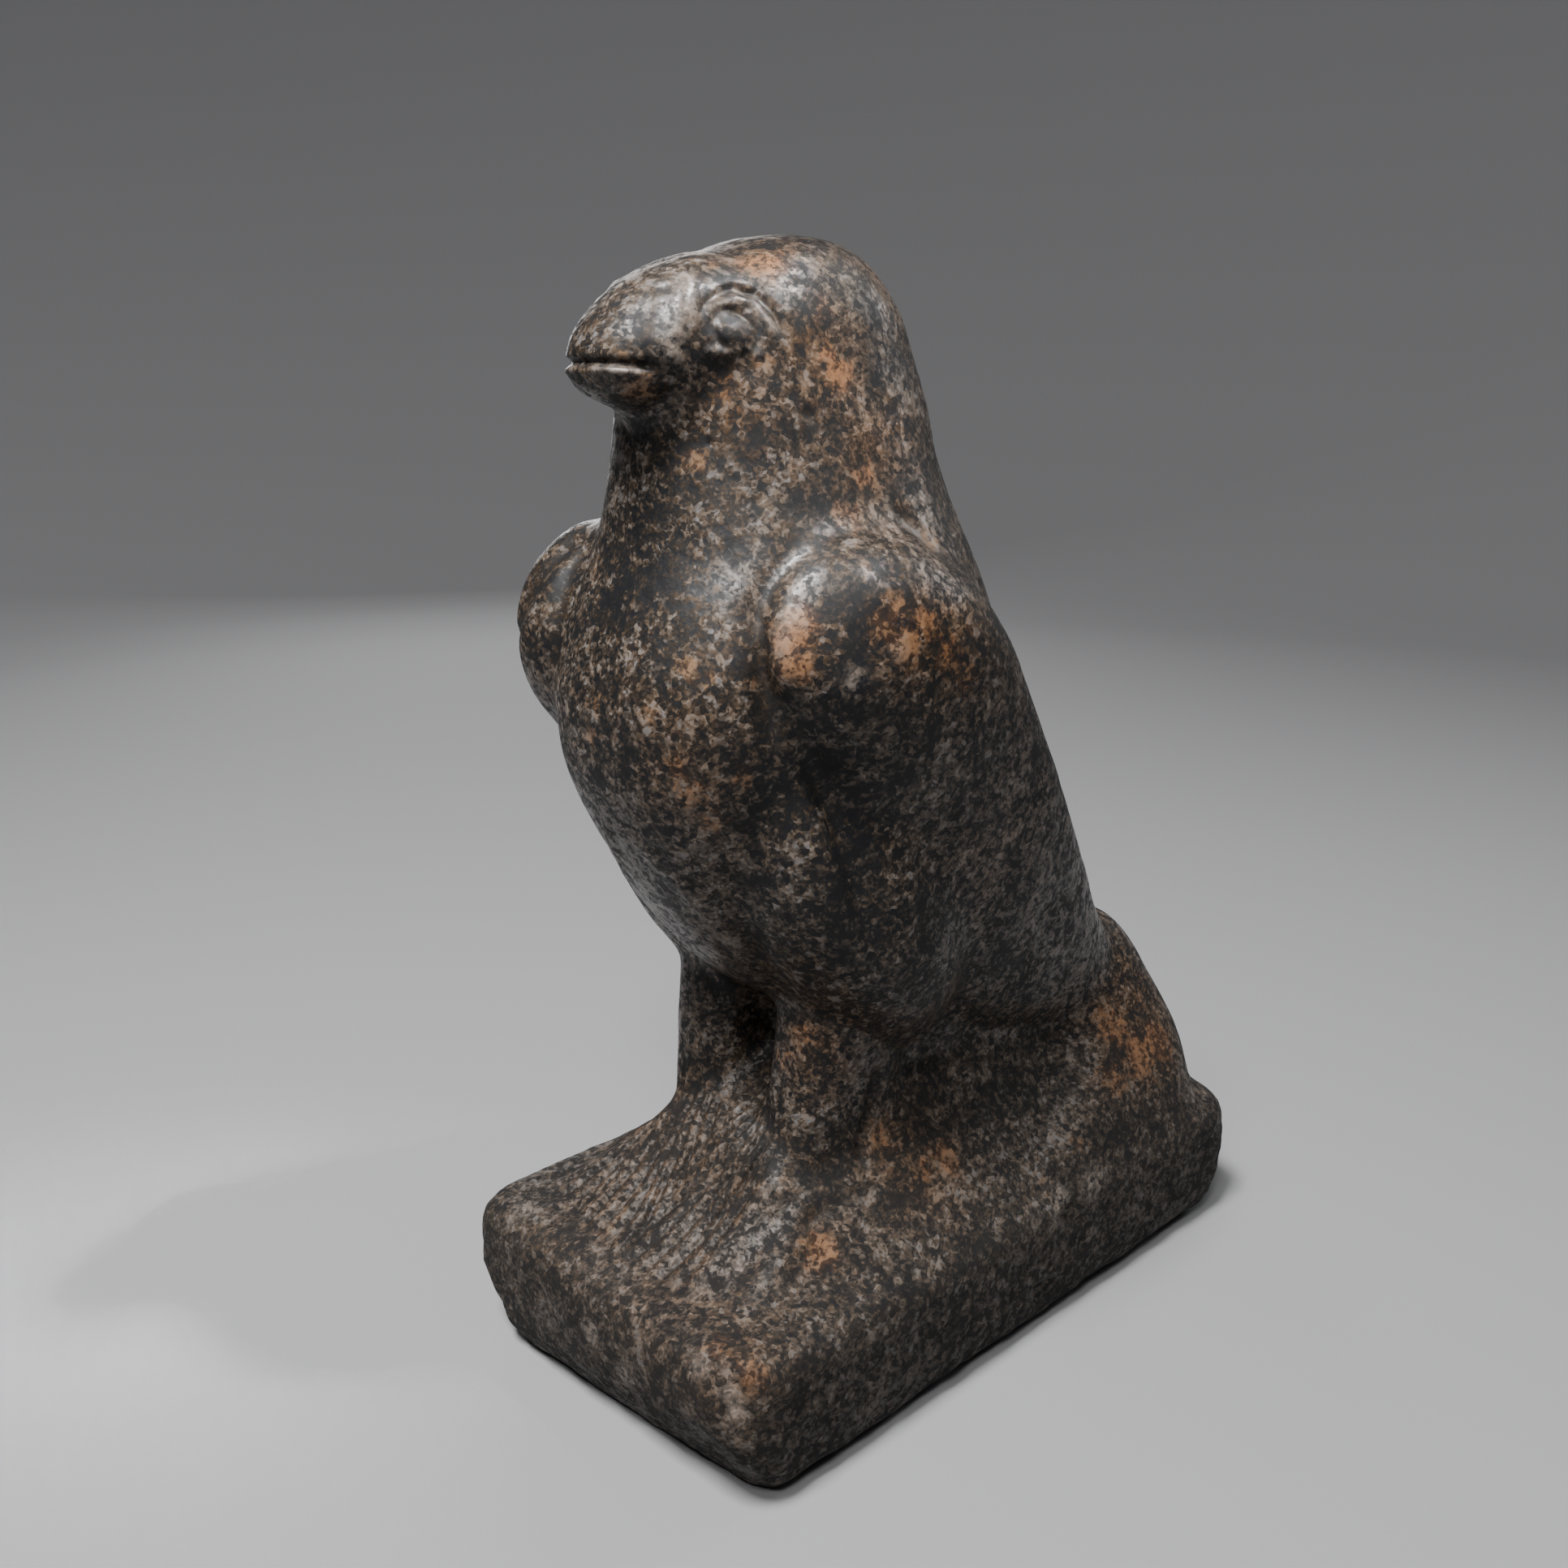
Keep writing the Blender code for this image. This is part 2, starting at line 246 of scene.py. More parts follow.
def bell(distance, width):
    """1 on the line, and down to almost nothing at twice the width."""
    return np.exp(-((distance / width) ** 2))


def smooth_step(value, low, high):
    """0 below the low value, 1 above the high one, and a soft slope between them."""
    t = np.clip((value - low) / (high - low), 0, 1)
    return t * t * (3 - 2 * t)


def smooth_fall(value, low, high):
    """1 below the low value, 0 above the high one, and a soft slope between them."""
    return smooth_step(-value, -high, -low)


def fade(share, ends):
    """1 along the middle of a line, and down to 0 over the given share at each end."""
    first, last = ends
    rise = np.clip(share / first, 0, 1) if first else np.ones_like(share)
    fall = np.clip((1 - share) / last, 0, 1) if last else np.ones_like(share)
    return rise * fall


WAVE_FADE = 0.8
WAVE_FINER = 2.1
WAVE_LAYERS = 4


def noise_places(count, seed):
    shift = Vector((seed, seed * 2.0, seed * 3.0))
    return [Vector(p) * count + shift for p in points]


def slow_noise(count, seed):
    """A smooth random number for each point of the skin."""
    return np.array([noise.noise(place) for place in noise_places(count, seed)])


def waves_of(count, seed):
    """The same, with layers of finer waves on it."""
    places = noise_places(count, seed)
    return np.array([noise.fractal(place, WAVE_FADE, WAVE_FINER, WAVE_LAYERS) for place in places])


lift = np.zeros(len(points))
groove_shade = np.zeros(len(points))
ridge_highlight = np.zeros(len(points))
NARROW = 4 * MM


def carve(pixels, depth, width, ends=(0.15, 0.15), far_side=True):
    """Carve a groove (depth above 0) or leave a ridge (below 0) along the pixels, on one side or both."""
    places = [on_stone(x, y) for x, y in pixels]
    for line in both_sides(places) if far_side else (places,):
        distance, share = distance_to_line(line)[:2]
        mark = bell(distance, width) * fade(share, ends)
        lift[:] -= depth * mark
        # A narrow groove is marked for painted shade, and a narrow ridge for a painted highlight.
        if width < NARROW:
            mask = groove_shade if depth > 0 else ridge_highlight
            mask[:] = np.maximum(mask, mark * min(1.0, abs(depth) / MM))


def step_back(pixels, depth, edge, reach, ends):
    """Sink the stone behind a line: a short wall at the line, then a slow rise back to the old level."""
    for line in both_sides([on_stone(x, y) for x, y in pixels]):
        distance, share, behind = distance_to_line(line)
        lift[:] -= depth * smooth_step(behind, 0.0, edge) * bell(distance, reach) * fade(share, ends)


print("tools ready for", len(points), "points")

# %% [markdown]
# ## The face
#
# The eye is a low ball in a narrow rim. An arched lid lies over it with a crease above, and a straight, thin
# lower lid runs under it, over a shallow hollow. The beak is blunt and heavy. Its mouth is one straight cut,
# with the lower lip standing out as a thin ridge, and a soft fold marks where the beak grows out of the face.
# Painted shade darkens the narrow cuts and the eye's rim, and a painted highlight brightens the narrow
# ridges.

# %% Carve the face
MOUTH = ((712, 445), (740, 446), (770, 448), (800, 451), (824, 458))
LOWER_LIP = ((722, 453), (760, 455), (795, 459))
CHEEK_FOLD = ((848, 332), (842, 365), (838, 400), (824, 426), (834, 462))
BEAK_SIDE = ((818, 345), (812, 378), (800, 412))
EYE_SPAN = ((882, 411), (928, 409), (906, 384), (904, 431))
BALL_HEIGHT = 0.8 * MM
RIM_DEPTH = 0.4 * MM
RIM_PLACE = 1.12
RIM_WIDTH = 0.20
RIM_SHADE = 0.8
UPPER_LID = ((876, 392), (888, 377), (904, 369), (926, 372), (941, 393), (952, 413), (960, 427))
LID_CREASE = ((884, 362), (904, 354), (930, 361), (953, 384), (966, 409), (972, 434))
BROW_CREASE = ((852, 394), (874, 369), (894, 357), (909, 349))
LOWER_LID = ((866, 433), (890, 434), (917, 434))
LID_CORNER = ((914, 431), (930, 435), (944, 437))
UNDER_EYE = ((856, 446), (880, 449), (904, 450), (928, 452), (948, 452))
JAW = ((834, 474), (815, 492), (790, 499))


def swell_eye():
    """A domed ball between its left, right, top and bottom pixels, with a groove round it."""
    for left, right, top, bottom in both_sides([on_stone(x, y) for x, y in EYE_SPAN]):
        across = np.array(right - left) / 2
        up = np.array(top - bottom) / 2
        offset = points - np.array(left + right + top + bottom) / 4
        u = offset @ across / (across @ across)
        v = offset @ up / (up @ up)
        away = np.hypot(u, v) + (np.linalg.norm(offset, axis=1) > EYE_REACH)
        lift[:] += BALL_HEIGHT * np.clip(1 - away**2, 0, 1)
        rim = bell(away - RIM_PLACE, RIM_WIDTH)
        lift[:] -= RIM_DEPTH * rim
        # The rim groove gets painted shade.
        groove_shade[:] = np.maximum(groove_shade, RIM_SHADE * rim)


def carve_face():
    carve(MOUTH, 1.5 * MM, 0.9 * MM, ends=(0.02, 0.25))
    carve(LOWER_LIP, -0.6 * MM, 1.0 * MM)
    carve(CHEEK_FOLD, -0.8 * MM, 2.4 * MM)
    carve(BEAK_SIDE, 0.6 * MM, 3.0 * MM)
    swell_eye()
    carve(UPPER_LID, -0.7 * MM, 1.2 * MM)
    carve(LID_CREASE, 0.85 * MM, 1.05 * MM, ends=(0.3, 0.3))
    carve(BROW_CREASE, 0.3 * MM, 1.0 * MM, ends=(0.3, 0.3))
    carve(LOWER_LID, -0.7 * MM, 0.9 * MM)
    carve(LID_CORNER, -0.35 * MM, 1.1 * MM)
    carve(UNDER_EYE, 0.6 * MM, 2.8 * MM, ends=(0.5, 0.5))
    carve(JAW, 0.5 * MM, 1.6 * MM)


carve_face()
print("face carved, deepest cut, mm:", round(-lift.min() / MM, 2))

# %% [markdown]
# ## Wings, thighs and legs
#
# The folded wing stands over the chest with a rounded front edge, and a groove runs down beside that edge.
# Below the groove the belly's side stands out, and the wing behind it is cut back by a short step. Behind
# its edge the wing is nearly flat. The thigh shows only by a soft low ridge. Behind the neck a cleft parts
# the head's back from the shoulder, and a narrow crease parts each leg from the web of stone behind it.

# %% Carve the body
WING_GROOVE = ((1004, 672), (972, 694), (948, 722), (936, 756), (936, 800), (943, 852), (958, 907))
WING_UNDERCUT = (
    (936, 830), (946, 880), (966, 930), (986, 972), (1008, 1020), (1028, 1080), (1045, 1146), (1061, 1205),
)
WING_EDGE = ((994, 706), (974, 740), (964, 785), (964, 840))
WING_FLAT = ((1020, 700), (1030, 745), (1040, 800), (1056, 860))
BREAST = ((862, 780), (858, 840))
BELLY_SIDE = ((958, 950), (984, 1010), (1006, 1085), (1022, 1150), (1036, 1196))
FOOT_BALL = ((948, 1432), (962, 1462))
WING_FRONT = ((936, 790), (939, 850), (950, 895), (968, 934))
THIGH_CREASE = ((773, 1021), (830, 1082), (884, 1140), (931, 1195))
FAR_SHOULDER = ((735, 655), (702, 700), (690, 760), (682, 825), (680, 868))
NAPE_CLEFT = ((1098, 622), (1140, 662), (1186, 712))
LEG_CREASE = ((1086, 1310), (1072, 1365), (1058, 1420), (1076, 1446))
FOOT_STEP = ((1096, 1452), (1050, 1476), (1004, 1500), (980, 1520))


def carve_body():
    carve(WING_GROOVE, 1.5 * MM, 2.6 * MM, ends=(0.45, 0.2))
    step_back(WING_UNDERCUT, 3.4 * MM, 4.0 * MM, 14.0 * MM, ends=(0.15, 0.3))
    carve(WING_FRONT, 1.5 * MM, 2.2 * MM, ends=(0.3, 0.3))
    carve(BELLY_SIDE, -0.8 * MM, 4.0 * MM, ends=(0.3, 0.3))
    carve(WING_EDGE, -0.6 * MM, 2.6 * MM, ends=(0.6, 0.3))
    carve(WING_FLAT, 1.3 * MM, 8.0 * MM, ends=(0.3, 0.3))
    carve(BREAST, -1.8 * MM, 20.0 * MM, ends=(0, 0), far_side=False)
    carve(THIGH_CREASE, -0.6 * MM, 1.8 * MM)
    carve(FAR_SHOULDER, 0.8 * MM, 2.0 * MM, far_side=False)
    carve(NAPE_CLEFT, 1.1 * MM, 2.2 * MM)
    carve(LEG_CREASE, 1.8 * MM, 1.3 * MM)
    carve(FOOT_BALL, -1.2 * MM, 4.5 * MM, ends=(0, 0))
    carve(FOOT_STEP, 0.7 * MM, 2.0 * MM)


carve_body()
print("body carved, deepest cut, mm:", round(-lift.min() / MM, 2))

# %% [markdown]
# ## Toes
#
# Each foot spreads a fan of long, broad toes down the slope of the block, with narrow cuts between them. A
# fan follows the angle round a point under its leg, so one formula draws all the cuts, and noise bends them
# as a hand would. The outer half of the near foot has been rubbed smooth, and its cuts fade there.

# %% Score the toes
FAN_PLACES = (-0.020, 0.016)
FAN_BACK = -0.026
FAN_START = (0.022, 0.030)
FAN_END = (0.056, 0.072)
FAN_SIDES = (0.7, 1.0)
SLOPE_FOOT = (BLOCK_TOP - 2 * MM, BLOCK_TOP + 3 * MM)
SLOPE_HEAD = (BLOCK_TOP + 28 * MM, BLOCK_TOP + 38 * MM)
BETWEEN_FEET = 1.5 * MM
RUBBED_FROM = 0.014
RUBBED_TO = 0.022
SCORE_PITCH = 3.6 * MM
SCORE_REACH = 0.040
SCORE_DEPTH = 1.6 * MM
SCORE_SHARPNESS = 3
TOE_SWELL = 0.3
WANDER_COUNT = 90.0
WANDER_TURN = 0.008
WANDER_PHASE = 0.8
PRESS_COUNT = 120.0
PRESS_MIDDLE = 0.9
PRESS_SWING = 0.7


def score_toes():
    wander = slow_noise(WANDER_COUNT, seed=5.0)
    strength = PRESS_MIDDLE + PRESS_SWING * slow_noise(PRESS_COUNT, seed=9.0)
    between = sum(FAN_PLACES) / 2
    for place in FAN_PLACES:
        across = points[:, 0] - place
        ahead = FAN_BACK - points[:, 1]
        turn = np.arctan2(across, ahead) + WANDER_TURN * wander
        phase = turn * SCORE_REACH / SCORE_PITCH * 2 * math.pi + WANDER_PHASE * wander
        cuts = (0.5 - 0.5 * np.cos(phase)) ** SCORE_SHARPNESS
        reach = np.hypot(across, ahead)
        where = smooth_step(reach, *FAN_START) * smooth_fall(reach, *FAN_END) * strength
        where *= smooth_step(points[:, 2], *SLOPE_FOOT)
        where *= smooth_fall(points[:, 2], *SLOPE_HEAD)
        where *= smooth_fall(np.abs(turn), *FAN_SIDES)
        inner = (points[:, 0] - between) * (1 if place > between else -1)
        where *= smooth_step(inner, -BETWEEN_FEET, BETWEEN_FEET)
        where *= 1 - smooth_step(points[:, 0], RUBBED_FROM, RUBBED_TO)
        lift[:] += SCORE_DEPTH * (TOE_SWELL - cuts) * where
        # The cuts between the toes get painted shade.
        groove_shade[:] = np.maximum(groove_shade, np.clip(where, 0, 1) * cuts)


score_toes()
print("toes scored, deepest cut, mm:", round(-lift.min() / MM, 2))

# %% [markdown]
# ## Wear
#
# Stone this old isn't even. A slow swelling from hand grinding runs over the whole bird, the block's sides
# were left rougher than the bird, and chips have come off its edges. The chips are placed where the
# photograph shows them, and each is a shallow bowl with a broken floor.

# %% Wear the stone
HAND_WAVE = 0.22 * MM
HAND_COUNT = 55.0
ROUGH_WAVE = 0.55 * MM
ROUGH_COUNT = 140.0
ROUGH_TOP = (BLOCK_TOP - 6 * MM, BLOCK_TOP + 2 * MM)
CRUMBLE_COUNT = 420.0
CHIP_RAGGED = 0.35
CHIP_WALL = (0.35, 1.0)
CHIP_FLOOR = 0.8
CHIP_CRUMBLE = 0.5
UNDERSIDE = 0.4 * MM
CHIPS = (
    ((1322, 1500), 7.0 * MM, 1.5 * MM),
    ((1306, 1455), 5.0 * MM, 1.0 * MM),
    ((915, 1722), 6.0 * MM, 1.6 * MM),
    ((885, 1690), 4.0 * MM, 0.9 * MM),
    ((770, 1712), 4.0 * MM, 0.9 * MM),
    ((730, 1640), 3.5 * MM, 0.8 * MM),
    ((648, 1492), 3.5 * MM, 0.8 * MM),
    ((1284, 1590), 5.0 * MM, 1.3 * MM),
    ((1112, 752), 1.6 * MM, 0.6 * MM),
    ((875, 545), 1.0 * MM, 0.6 * MM),
)
BACK_CHIPS = (
    ((-0.054, 0.04, 0.030), 6.0 * MM, 1.3 * MM),
    ((-0.03, 0.099, 0.012), 7.0 * MM, 1.4 * MM),
    ((0.02, 0.099, 0.033), 5.0 * MM, 1.0 * MM),
    ((-0.054, -0.05, 0.010), 6.0 * MM, 1.2 * MM),
)


broken = np.zeros(len(points))
on_block = smooth_fall(points[:, 2], *ROUGH_TOP)
lift += HAND_WAVE * waves_of(HAND_COUNT, seed=3.1)
lift += ROUGH_WAVE * waves_of(ROUGH_COUNT, seed=7.7) * on_block
crumble = waves_of(CRUMBLE_COUNT, seed=1.3)


def chip(place, size, depth):
    gap = np.linalg.norm(points - np.array(place), axis=1) / size + CHIP_RAGGED * crumble
    bowl = smooth_fall(gap, *CHIP_WALL)
    lift[:] -= bowl * depth * (CHIP_FLOOR + CHIP_CRUMBLE * crumble)
    broken[:] = np.maximum(broken, bowl)


for pixel, size, depth in CHIPS:
    chip(on_stone(*pixel), size, depth)
for place, size, depth in BACK_CHIPS:
    chip(surface.find_nearest(Vector(place))[0], size, depth)

stone.normal_update()
normals = np.array([v.normal for v in stone.verts])
standing = points[:, 2] > UNDERSIDE
moved = points + normals * (lift * standing)[:, None]
moved[:, 2] = np.maximum(moved[:, 2], 0.0)
for vert, place in zip(stone.verts, moved):
    vert.co = place
print("wear done, lift from", round(lift.min() / MM, 2), "to", round(lift.max() / MM, 2), "mm")

# %% [markdown]
# ## Where the stone is stained
#
# Iron in the granite has rusted in spots with a brown wash round them, some grains are fresh and pale, and
# some patches are nearly black. The dark dabs also hold painted shade on the lower wing and behind its front
# edge. Narrow ridges get a painted highlight and narrow grooves painted shade. The bird is polished where the
# block's sides are raw, and the same mask lays painted shade on the block's sides and darkens the low stone.
# These marks have places of their own, so they are painted as attributes, one number for each point of the
# skin, that the material reads. Soft round dabs are enough, because noise in the material breaks their
# edges. A dab is named by its pixel, its size in millimetres and its strength.

# %% Paint the marks
RUST = (
    ((846, 308), 3.2, 0.8), ((877, 325), 2.6, 0.6), ((925, 328), 4.0, 0.8), ((952, 326), 4.5, 0.9),
    ((970, 334), 3.0, 0.6), ((1018, 434), 3.0, 0.8), ((1034, 462), 4.6, 1.0), ((1012, 378), 5.0, 0.5),
    ((775, 438), 3.0, 0.6), ((787, 478), 3.6, 1.0), ((795, 412), 2.4, 0.5), ((855, 570), 4.2, 0.8),
    ((905, 515), 3.2, 0.5), ((892, 480), 4.2, 0.5), ((1062, 588), 4.5, 0.7), ((980, 575), 2.6, 0.5),
    ((940, 446), 4.0, 0.5), ((1048, 640), 5.0, 0.7), ((1064, 700), 2.6, 0.7), ((1150, 668), 5.0, 0.6),
    ((984, 760), 3.6, 0.9), ((976, 788), 4.6, 1.0), ((980, 822), 4.0, 1.0), ((1003, 764), 2.8, 0.7),
    ((1104, 746), 3.6, 0.8), ((1090, 774), 4.6, 0.9), ((1116, 796), 4.8, 1.0), ((1140, 768), 4.8, 0.8),
    ((1168, 806), 5.5, 0.7), ((1192, 836), 5.0, 0.6), ((850, 822), 3.6, 0.8), ((872, 836), 3.2, 0.6),
    ((802, 880), 3.4, 0.6), ((735, 868), 3.2, 0.6), ((728, 905), 4.0, 0.6), ((735, 706), 5.0, 0.5),
    ((916, 958), 4.0, 0.6), ((850, 975), 5.0, 0.6), ((832, 938), 3.6, 0.6), ((880, 1010), 4.5, 0.6),
    ((930, 840), 3.0, 0.5), ((1368, 1266), 7.0, 0.8), ((1402, 1300), 8.0, 0.9), ((1428, 1286), 8.0, 0.9),
    ((1372, 1330), 6.5, 0.8), ((1330, 1414), 5.0, 0.6), ((1012, 1540), 5.6, 1.0),
    ((926, 1698), 5.0, 0.9), ((884, 1662), 5.0, 0.6), ((1166, 1426), 6.0, 0.8), ((1084, 1398), 6.0, 0.6),
    ((1288, 1462), 5.0, 0.6), ((1140, 1442), 4.4, 0.6), ((990, 1272), 4.0, 0.6), ((962, 1304), 4.4, 0.5),
    ((1008, 1432), 3.0, 0.5),
)
PALE = (
    ((1056, 838), 2.4, 1.0), ((896, 1716), 2.2, 0.7), ((906, 1738), 2.0, 0.8), ((1306, 1478), 4.0, 0.9),
    ((1346, 1456), 4.0, 0.7), ((646, 1490), 2.2, 1.0), ((728, 1640), 2.4, 1.0), ((772, 1706), 3.0, 0.8),
    ((1344, 1520), 2.6, 0.9), ((860, 1686), 2.4, 0.5), ((1106, 800), 2.4, 0.5), ((985, 742), 2.0, 0.6),
)
# Nearly black patches of the stone, and painted shade on the lower wing and in the band behind its front
# edge.
DARK_AND_SHADE = (
    ((760, 738), 6.0, 0.9), ((900, 340), 3.4, 0.8), ((1012, 404), 4.6, 0.8), ((1040, 790), 9.0, 0.9),
    ((1020, 850), 7.0, 0.8), ((985, 905), 8.0, 0.9), ((1008, 968), 9.0, 0.8), ((1040, 1040), 9.0, 0.7),
    ((1060, 900), 8.0, 0.7), ((975, 880), 7.0, 0.9), ((966, 905), 6.0, 0.9), ((990, 935), 6.0, 0.9),
    ((1075, 1110), 10.0, 0.9), ((1120, 1180), 14.0, 0.7), ((1180, 1120), 13.0, 0.6),
    ((1230, 1180), 13.0, 0.6), ((842, 692), 4.0, 0.6), ((800, 930), 5.0, 0.5), ((720, 790), 6.0, 0.6),
    ((876, 546), 1.2, 1.0), ((890, 460), 4.0, 0.6), ((1080, 480), 6.0, 0.6), ((830, 560), 4.0, 0.5),
    ((1150, 880), 9.0, 0.6), ((1195, 930), 8.0, 0.6), ((1096, 745), 1.4, 1.0), ((1112, 762), 1.6, 1.0),
)
WARM = (
    ((1405, 1265), 20, 1.0), ((1085, 560), 15, 0.9), ((1165, 790), 16, 0.9), ((975, 790), 9, 0.9),
    ((1120, 1430), 16, 0.9), ((905, 500), 10, 0.7), ((1020, 440), 12, 0.9), ((895, 1690), 14, 0.8),
    ((850, 960), 14, 0.6), ((1000, 1290), 12, 0.8), ((950, 320), 9, 0.8), ((1010, 1540), 12, 0.8),
    ((1230, 1060), 16, 0.5), ((820, 1420), 22, 0.8), ((760, 1480), 20, 0.7), ((900, 1480), 16, 0.7),
    ((860, 1580), 22, 0.6),
)
TOUCHED_FOOT = ((958, 1448), 5.0, 0.9)
RIDGE_HIGHLIGHT_SHARE = 0.8
FAR_SIDE_MARKS = 46
FAR_SIDE_SEED = 23
FAR_SIDE_WEAKEST = 0.4
FAR_SIDE_SMALLEST = 2.5
FAR_SIDE_GROWTH = 4
FAR_SIDE_WASH = 14 * MM
BACK_RUST = ((0.0, 0.092, 0.052), 0.016, 0.7)
SIDE_TILT = (0.45, 0.75)
SLOPE_BAND = (0.055, 0.080)
SIDE_DULL_AND_SHADE = 0.95
SLOPE_DULL = 0.6
BROKEN_DULL = 0.8


def dab(mask, place, size, strength):
    gap = np.linalg.norm(points - np.array(place), axis=1) / size
    mask[:] = np.maximum(mask, strength * np.exp(-(gap**2)))


def paint(marks):
    mask = np.zeros(len(points))
    for (x, y), size, strength in marks:
        dab(mask, on_stone(x, y), size * MM, strength)
    return mask


def far_side_points(count, seed):
    """Places on the side that the photograph doesn't show, picked with a fixed seed."""
    away = np.einsum("ij,ij->i", normals, points - np.array(CAMERA_PLACE)) > 0
    choice = np.random.default_rng(seed)
    places = points[choice.choice(np.flatnonzero(away), count, replace=False)]
    return places, choice.uniform(FAR_SIDE_WEAKEST, 1.0, count)


masks = {"rust": paint(RUST), "pale_and_highlight": paint(PALE), "dark_and_shade": paint(DARK_AND_SHADE), "warm": paint(WARM)}
for name, seed in (("rust", FAR_SIDE_SEED), ("dark_and_shade", FAR_SIDE_SEED + 1)):
    for place, strength in zip(*far_side_points(FAR_SIDE_MARKS, seed)):
        dab(masks[name], place, (FAR_SIDE_SMALLEST + FAR_SIDE_GROWTH * strength) * MM, strength)
        if name == "rust":
            dab(masks["warm"], place, FAR_SIDE_WASH, strength)
dab(masks["rust"], *BACK_RUST)
# Narrow ridges get a painted highlight, on top of the fresh pale grains.
masks["pale_and_highlight"] = np.maximum(masks["pale_and_highlight"], RIDGE_HIGHLIGHT_SHARE * ridge_highlight)
# Narrow grooves, the eye's rim and the toes' cuts get painted shade.
masks["groove_shade"] = np.clip(groove_shade, 0, 1)
masks["broken"] = np.clip(broken, 0, 1)
# The dull mask also darkens the colour: painted shade on the block's sides, a darker tint on the low stone
# and the chips.
sides = on_block * smooth_fall(np.abs(normals[:, 2]), *SIDE_TILT)
slopes = smooth_fall(points[:, 2], *SLOPE_BAND) * (1 - sides)
polish_and_light = 1 - SIDE_DULL_AND_SHADE * sides - SLOPE_DULL * slopes - BROKEN_DULL * masks["broken"]
masks["polish_and_light"] = np.maximum(np.clip(polish_and_light, 0, 1), paint([TOUCHED_FOOT]))
print("marks:", {name: round(float(mask.mean()), 3) for name, mask in masks.items()})

# %% [markdown]
# ## The finished piece
#
# The carved skin becomes one object with the marks on it as attributes. It stands for the model's own
# statue and keeps its place.

# %% Make the statue's object
STATUE = "falcon_statue_carved"


def statue_object():
    mesh = bpy.data.meshes.new(STATUE)
    stone.to_mesh(mesh)
    mesh.shade_smooth()
    for name, mask in masks.items():
        mesh.attributes.new(name, "FLOAT", "POINT").data.foreach_set("value", mask.astype(np.float32))
    statue = bpy.data.objects.new(STATUE, mesh)
    bpy.context.scene.collection.objects.link(statue)
    return statue


statue = statue_object()
stone.free()
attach(statue, "root")
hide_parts("falcon_statue")
print(STATUE, "has", len(statue.data.polygons), "triangles")

# %% [markdown]
# ## Helpers for materials
#
# A material is a graph of nodes. A few helpers keep its recipe short: they make a node with its settings
# and inputs, a step of arithmetic, a mix of two colours, a ramp of colours, and an empty node group with
# named sockets.

# %% Node helpers
MIX_INPUTS = (0, 6, 7)
MIX_RESULT = 2


def node(tree, kind, inputs=None, **settings):
    made = tree.nodes.new(kind)
    for name, value in settings.items():
        setattr(made, name, value)
    for name, value in (inputs or {}).items():
        if isinstance(value, bpy.types.NodeSocket):
            tree.links.new(value, made.inputs[name])
        else:
            made.inputs[name].default_value = value
    return made


def math_node(tree, operation, first, second=0.0, clamp=False):
    made = node(tree, "ShaderNodeMath", {0: first, 1: second}, operation=operation, use_clamp=clamp)
    return made.outputs[0]


def mix_colour(tree, share, first, second, blend="MIX"):
    """A mix of two colours. Its sockets go by number, since the node has others of the same names."""
    inputs = dict(zip(MIX_INPUTS, (share, first, second)))
    made = node(tree, "ShaderNodeMix", inputs, data_type="RGBA", blend_type=blend)
    return made.outputs[MIX_RESULT]


def ramp(tree, factor, stops):
    made = node(tree, "ShaderNodeValToRGB", {"Fac": factor})
    band = made.color_ramp
    while len(band.elements) < len(stops):
        band.elements.new(0.5)
    for element, (position, colour) in zip(band.elements, stops):
        element.position = position
        element.color = (*colour, 1.0) if len(colour) == 3 else colour
    return made.outputs["Color"]


def group(name, inputs, outputs):
    tree = bpy.data.node_groups.new(name, "ShaderNodeTree")
    for socket, kind, value in inputs:
        made = tree.interface.new_socket(socket, in_out="INPUT", socket_type=kind)
        if value is not None:
            made.default_value = value
    for socket, kind in outputs:
        tree.interface.new_socket(socket, in_out="OUTPUT", socket_type=kind)
    return tree, tree.nodes.new("NodeGroupInput"), tree.nodes.new("NodeGroupOutput")


# %% [markdown]
# ## Granite grain
#
# Granite is a jam of crystals: black mica, brown and grey feldspar, pale quartz. Voronoi cells are such a
# jam, each cell with random numbers of its own. The cells are bent by noise so that none is a neat polygon,
# and a finer set is mixed in. Slow noise makes some patches darker than others, and one more random number
# turns part of the grains from brown to a cold grey, since that is how this stone looks from a step away.

# %% The grain group
GRAIN = 1.5 * MM
FINER_BY = 2.1
BEND_COUNT_SHARE = 0.5
BEND_REACH = 0.8
PATCH_COUNT = 80.0
SPECKLE_COUNT = 330.0
COARSE_WEIGHT = 0.42
FINE_WEIGHT = 0.38
PATCH_WEIGHT = 0.75
SPECKLE_WEIGHT = 0.85
COLD_FROM = 0.9
COLD_TO = 1.4
COLD_TURN = (0.84, 0.97, 1.17, 1.0)
GRAIN_STOPS = (
    (0.08, (0.0028, 0.0028, 0.0035)),
    (0.27, (0.0080, 0.0062, 0.0050)),
    (0.40, (0.0205, 0.0145, 0.0100)),
    (0.52, (0.0450, 0.0315, 0.0215)),
    (0.64, (0.0740, 0.0550, 0.0400)),
    (0.80, (0.1250, 0.1030, 0.0860)),
)


